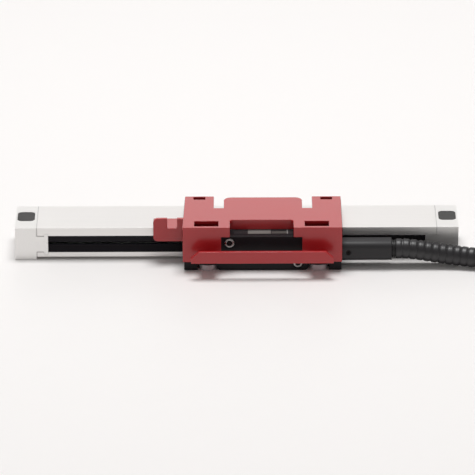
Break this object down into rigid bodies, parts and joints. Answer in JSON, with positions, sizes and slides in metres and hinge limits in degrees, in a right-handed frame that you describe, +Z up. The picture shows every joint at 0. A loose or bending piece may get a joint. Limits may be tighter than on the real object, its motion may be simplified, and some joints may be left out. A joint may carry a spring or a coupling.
{
  "type": "linear encoder",
  "caption": "Slim sealed glass-scale linear encoder with a black scanning head, a red clip-on shipping brace and an armoured signal hose that ends in a round plug.",
  "frame": {"origin": "midway between the two end block fixing holes, on the plane that the end blocks are screwed to", "axes": "+X along the scale towards the hose, +Y from the scanning head to the housing's back, +Z up from the mounting plane"},
  "size_m": [0.4308, 0.1413, 0.0304],
  "materials": {
    "rail_silver": "satin anodised",
    "block_silver": "satin anodised",
    "seal_rubber": "matt",
    "gasket_grey": "matt",
    "screw_black": "black oxide",
    "screw_steel": "bright",
    "cap_grey": "matt",
    "scale_glass": "polished",
    "bond_black": "matt",
    "head_black": "matt black anodised",
    "label_grey": "matt",
    "bush_steel": "plain",
    "board_green": "board lacquer",
    "blade_steel": "black oxide",
    "carriage_black": "matt black anodised",
    "spring_bronze": "plain",
    "roller_steel": "polished",
    "light_black": "matt",
    "lens_glass": "polished",
    "reticle_glass": "polished, with a chrome grating",
    "flex_amber": "film",
    "ferrule_black": "black oxide",
    "hose_black": "satin",
    "tie_black": "satin",
    "plug_nickel": "satin nickel",
    "insert_black": "matt",
    "pin_gold": "gilt",
    "brace_red": "satin"
  },
  "bodies": {
    "scale_unit": {"housing_rail": "rail_silver", "left_end_block": "block_silver", "right_end_block": "block_silver", "left_end_gasket": "gasket_grey", "right_end_gasket": "gasket_grey", "left_end_screws": "screw_steel", "right_end_screws": "screw_steel", "left_fixing_cap": "cap_grey", "right_fixing_cap": "cap_grey", "upper_sealing_lip": "seal_rubber", "lower_sealing_lip": "seal_rubber", "glass_scale": "scale_glass", "scale_bond": "bond_black"},
    "scanning_unit": {"head_block": "head_black", "head_cover": "head_black", "cover_screws": "screw_steel", "head_label": "label_grey", "left_fixing_bush": "bush_steel", "right_fixing_bush": "bush_steel", "signal_board": "board_green", "coupling_blade": "blade_steel", "blade_screws": "screw_steel", "carriage_frame": "carriage_black", "coupling_spring": "spring_bronze", "roller_pins": "roller_steel", "light_unit": "light_black", "condenser_lens": "lens_glass", "scanning_reticle": "reticle_glass", "sensor_board": "board_green", "flex_lead": "flex_amber", "cable_outlet": "head_black", "outlet_grub_screw": "screw_black", "hose_ferrule": "ferrule_black", "hose": "hose_black", "hose_coil": "hose_black", "hose_tail": "hose_black", "coil_tie": "tie_black", "plug_sleeve": "plug_nickel", "plug_shell": "plug_nickel", "plug_insert": "insert_black", "plug_pins": "pin_gold"},
    "brace": {"shipping_brace": "brace_red"},
    "upper_left_roller": {"upper_left_roller": "roller_steel"},
    "upper_right_roller": {"upper_right_roller": "roller_steel"},
    "edge_left_roller": {"edge_left_roller": "roller_steel"},
    "edge_right_roller": {"edge_right_roller": "roller_steel"}
  },
  "joints": [
    {"name": "scanning_slide", "type": "slide", "parent": "scale_unit", "child": "scanning_unit", "axis": [1, 0, 0], "range_m": [-0.055, 0.045]},
    {"name": "brace_lift", "type": "slide", "parent": "scanning_unit", "child": "brace", "axis": [0, 0, 1], "range_m": [0, 0.06]},
    {"name": "upper_left_spin", "type": "hinge", "parent": "scanning_unit", "child": "upper_left_roller", "pos_m": [-0.0166, 0.003, 0.01055], "axis": [0, 1, 0], "continuous": true},
    {"name": "upper_right_spin", "type": "hinge", "parent": "scanning_unit", "child": "upper_right_roller", "pos_m": [0.0274, 0.003, 0.01055], "axis": [0, 1, 0], "continuous": true},
    {"name": "edge_left_spin", "type": "hinge", "parent": "scanning_unit", "child": "edge_left_roller", "pos_m": [-0.0086, -0.00615, 0.0067], "axis": [0, 0, 1], "continuous": true},
    {"name": "edge_right_spin", "type": "hinge", "parent": "scanning_unit", "child": "edge_right_roller", "pos_m": [0.0194, -0.00615, 0.0067], "axis": [0, 0, 1], "continuous": true}
  ],
  "couplings": [
    {"joint": "upper_left_spin", "follows": "scanning_slide", "rad_per_m": 333.33},
    {"joint": "upper_right_spin", "follows": "scanning_slide", "rad_per_m": 333.33},
    {"joint": "edge_left_spin", "follows": "scanning_slide", "rad_per_m": 333.33},
    {"joint": "edge_right_spin", "follows": "scanning_slide", "rad_per_m": 333.33}
  ]
}
